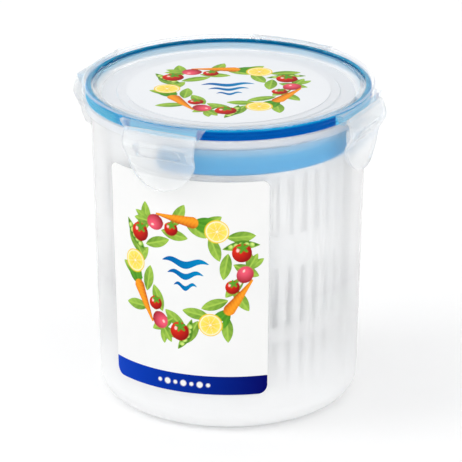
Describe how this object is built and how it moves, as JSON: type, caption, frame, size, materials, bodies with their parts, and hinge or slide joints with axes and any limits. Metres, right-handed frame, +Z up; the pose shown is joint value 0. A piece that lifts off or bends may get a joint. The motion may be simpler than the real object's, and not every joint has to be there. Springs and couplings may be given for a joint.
{
  "type": "round food storage container",
  "caption": "Round frosted food keeper with a clear latching lid, blue seal, hinged side latches and a lift-out slotted strainer tray with a folding bail handle.",
  "frame": {"origin": "middle of the foot ring, on the surface the container stands on", "axes": "+Z up along the container's axis; -Y towards the front latch; +X towards the side on which the tray's handle is folded"},
  "size_m": [0.1402, 0.1402, 0.1482],
  "materials": {
    "container": "frosted natural polypropylene",
    "lid": "clear natural polypropylene",
    "seal": "smooth blue silicone",
    "latch": "clear natural polypropylene, lightly polished",
    "tray": "white polypropylene",
    "handle": "light blue polypropylene",
    "front_label": "gloss printed film label",
    "lid_label": "gloss printed film label"
  },
  "bodies": {
    "container": {"container": "container", "front_label": "front_label"},
    "lid": {"lid": "lid", "seal_ring": "seal", "lid_label": "lid_label"},
    "latch_front": {"latch_front": "latch"},
    "latch_right": {"latch_right": "latch"},
    "latch_back": {"latch_back": "latch"},
    "latch_left": {"latch_left": "latch"},
    "tray": {"tray": "tray"},
    "tray_handle": {"tray_handle": "handle"}
  },
  "joints": [
    {"name": "lid_lift", "type": "slide", "parent": "container", "child": "lid", "axis": [0, 0, 1], "range_m": [0, 0.3]},
    {"name": "latch_front_hinge", "type": "hinge", "parent": "lid", "child": "latch_front", "pos_m": [0, -0.0675, 0.144], "axis": [-1, 0, 0], "range_deg": [-6, 150]},
    {"name": "latch_right_hinge", "type": "hinge", "parent": "lid", "child": "latch_right", "pos_m": [0.0675, 0, 0.144], "axis": [0, -1, 0], "range_deg": [-6, 150]},
    {"name": "latch_back_hinge", "type": "hinge", "parent": "lid", "child": "latch_back", "pos_m": [0, 0.0675, 0.144], "axis": [1, 0, 0], "range_deg": [-6, 150]},
    {"name": "latch_left_hinge", "type": "hinge", "parent": "lid", "child": "latch_left", "pos_m": [-0.0675, 0, 0.144], "axis": [0, 1, 0], "range_deg": [-6, 150]},
    {"name": "tray_lift", "type": "slide", "parent": "container", "child": "tray", "axis": [0, 0, 1], "range_m": [0, 0.15]},
    {"name": "handle_swing", "type": "hinge", "parent": "tray", "child": "tray_handle", "pos_m": [0, 0, 0.1296], "axis": [0, -1, 0], "range_deg": [0, 90]}
  ],
  "couplings": [
    {"joint": "tray_lift", "follows": "lid_lift", "ratio": 0.5},
    {"joint": "handle_swing", "follows": "lid_lift", "rad_per_m": 5.235}
  ]
}
